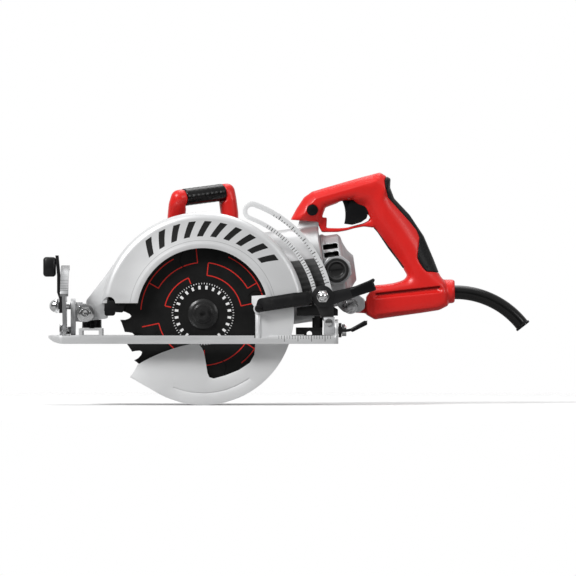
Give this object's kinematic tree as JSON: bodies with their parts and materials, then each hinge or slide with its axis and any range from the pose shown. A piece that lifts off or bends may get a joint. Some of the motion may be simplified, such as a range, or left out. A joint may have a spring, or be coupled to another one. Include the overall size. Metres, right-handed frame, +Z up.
{
  "type": "worm drive circular saw",
  "caption": "Worm drive circular saw with a swinging lower guard, rear D-handle with trigger, auxiliary handle, and a foot set for depth and bevel.",
  "frame": {"origin": "point on the sole of the foot, in the blade's plane, straight under the arbor", "axes": "+X to the rear along the cut, +Y to the motor side, +Z up, square to the sole"},
  "size_m": [0.5413, 0.1887, 0.2589],
  "materials": {
    "painted_alloy": "silver-grey painted casting",
    "bright_alloy": "bright cast and machined alloy",
    "grey_alloy": "satin grey casting",
    "dark_blade_steel": "black coated steel",
    "steel": "machined",
    "chrome": "polished",
    "bronze": "machined",
    "winding": "laminations with lacquered windings",
    "carbon": "pressed carbon",
    "black_metal": "black coated steel",
    "red_plastic": "fine-grained moulding",
    "black_plastic": "moulded",
    "black_rubber": "soft moulded"
  },
  "bodies": {
    "saw_body": {"arbor_bearings": "chrome", "armature_bearings": "chrome", "field_stator": "winding", "carbon_brushes": "carbon", "brush_caps": "black_plastic", "motor_housing": "bright_alloy", "commutator_housing": "grey_alloy", "gear_case": "bright_alloy", "front_cover": "grey_alloy", "side_cover": "grey_alloy", "cover_screws": "steel", "oil_plug": "steel", "upper_guard": "painted_alloy", "guard_screws": "steel", "guard_spring": "steel", "guard_ring": "steel", "guard_bumpers": "black_rubber", "handle_left": "red_plastic", "handle_right": "red_plastic", "soft_grip": "black_rubber", "handle_screws": "steel", "top_bolt": "black_plastic", "lower_bolt": "black_metal", "trigger_pin": "steel", "switch_box": "black_plastic", "cord_sleeve": "black_rubber", "aux_frame": "red_plastic", "aux_grip": "black_rubber", "aux_bolts": "steel", "depth_bolt": "steel", "stop_plate": "black_metal"},
    "blade": {"saw_blade": "dark_blade_steel", "inner_washer": "steel", "outer_washer": "black_metal", "blade_bolt": "black_metal", "arbor_shaft": "steel", "worm_wheel": "bronze"},
    "armature": {"armature_shaft": "steel", "worm": "steel", "armature_core": "steel", "commutator": "bronze", "cooling_fan": "black_plastic"},
    "lower_guard": {"lower_guard": "painted_alloy", "lift_lever": "black_metal", "lever_screws": "steel"},
    "spindle_lock": {"spindle_lock": "red_plastic"},
    "trigger": {"trigger": "black_plastic"},
    "carriage": {"pivot_block": "grey_alloy", "pivot_bolt": "steel", "bracket_pin": "steel", "rear_block": "grey_alloy", "bevel_studs": "chrome"},
    "depth_bracket": {"depth_bracket": "steel"},
    "foot": {"foot": "painted_alloy", "bevel_quadrant": "grey_alloy", "stop_screw": "black_metal"},
    "depth_lever": {"depth_lever": "black_metal"},
    "bevel_lever": {"bevel_lever": "black_metal"},
    "rear_lever": {"rear_lever": "black_metal"},
    "fence_knob": {"fence_knob": "black_plastic"}
  },
  "joints": [
    {"name": "blade_spin", "type": "hinge", "parent": "saw_body", "child": "blade", "pos_m": [0, 0, 0.033], "axis": [0, 1, 0], "continuous": true},
    {"name": "armature_spin", "type": "hinge", "parent": "saw_body", "child": "armature", "pos_m": [-0.00383, 0.07, 0.06023], "axis": [0.9903, 0, 0.1392], "continuous": true},
    {"name": "lower_guard_swing", "type": "hinge", "parent": "saw_body", "child": "lower_guard", "pos_m": [0, 0, 0.033], "axis": [0, -1, 0], "range_deg": [0, 118], "stiffness_Nm_per_rad": 0.25, "springref_deg": -80.21, "deforming": ["guard_spring"]},
    {"name": "trigger_pull", "type": "hinge", "parent": "saw_body", "child": "trigger", "pos_m": [0.162, 0.07, 0.163], "axis": [0, -1, 0], "range_deg": [0, 9], "stiffness_Nm_per_rad": 0.6, "springref_deg": -17.19},
    {"name": "spindle_lock_press", "type": "slide", "parent": "saw_body", "child": "spindle_lock", "axis": [0.9659, 0, -0.2588], "range_m": [0, 0.0045], "stiffness_N_per_m": 600, "springref_m": -0.004},
    {"name": "depth_adjust", "type": "hinge", "parent": "saw_body", "child": "carriage", "pos_m": [-0.1305, 0.007, 0.034], "axis": [0, 1, 0], "range_deg": [0, 25]},
    {"name": "depth_bracket_swing", "type": "hinge", "parent": "carriage", "child": "depth_bracket", "pos_m": [0.1395, 0.0065, 0.024], "axis": [0, 1, 0], "range_deg": [0, 18]},
    {"name": "bevel_tilt", "type": "hinge", "parent": "carriage", "child": "foot", "pos_m": [0.148, 0, 0.015], "axis": [-1, 0, 0], "range_deg": [0, 53]},
    {"name": "depth_lever_turn", "type": "hinge", "parent": "saw_body", "child": "depth_lever", "pos_m": [0.13275, -0.004, 0.0526], "axis": [0, -1, 0], "range_deg": [0, 40]},
    {"name": "bevel_lever_turn", "type": "hinge", "parent": "carriage", "child": "bevel_lever", "pos_m": [-0.157, 0, 0.042], "axis": [1, 0, 0], "range_deg": [0, 50]},
    {"name": "rear_lever_turn", "type": "hinge", "parent": "carriage", "child": "rear_lever", "pos_m": [0.152, 0, 0.015], "axis": [-1, 0, 0], "range_deg": [0, 60]},
    {"name": "fence_knob_turn", "type": "hinge", "parent": "foot", "child": "fence_knob", "pos_m": [-0.124, 0.0355, 0.02], "axis": [0, 0, 1], "continuous": true}
  ],
  "couplings": [
    {"joint": "armature_spin", "follows": "blade_spin", "ratio": -4},
    {"joint": "depth_bracket_swing", "follows": "depth_adjust", "ratio": 0.7}
  ]
}
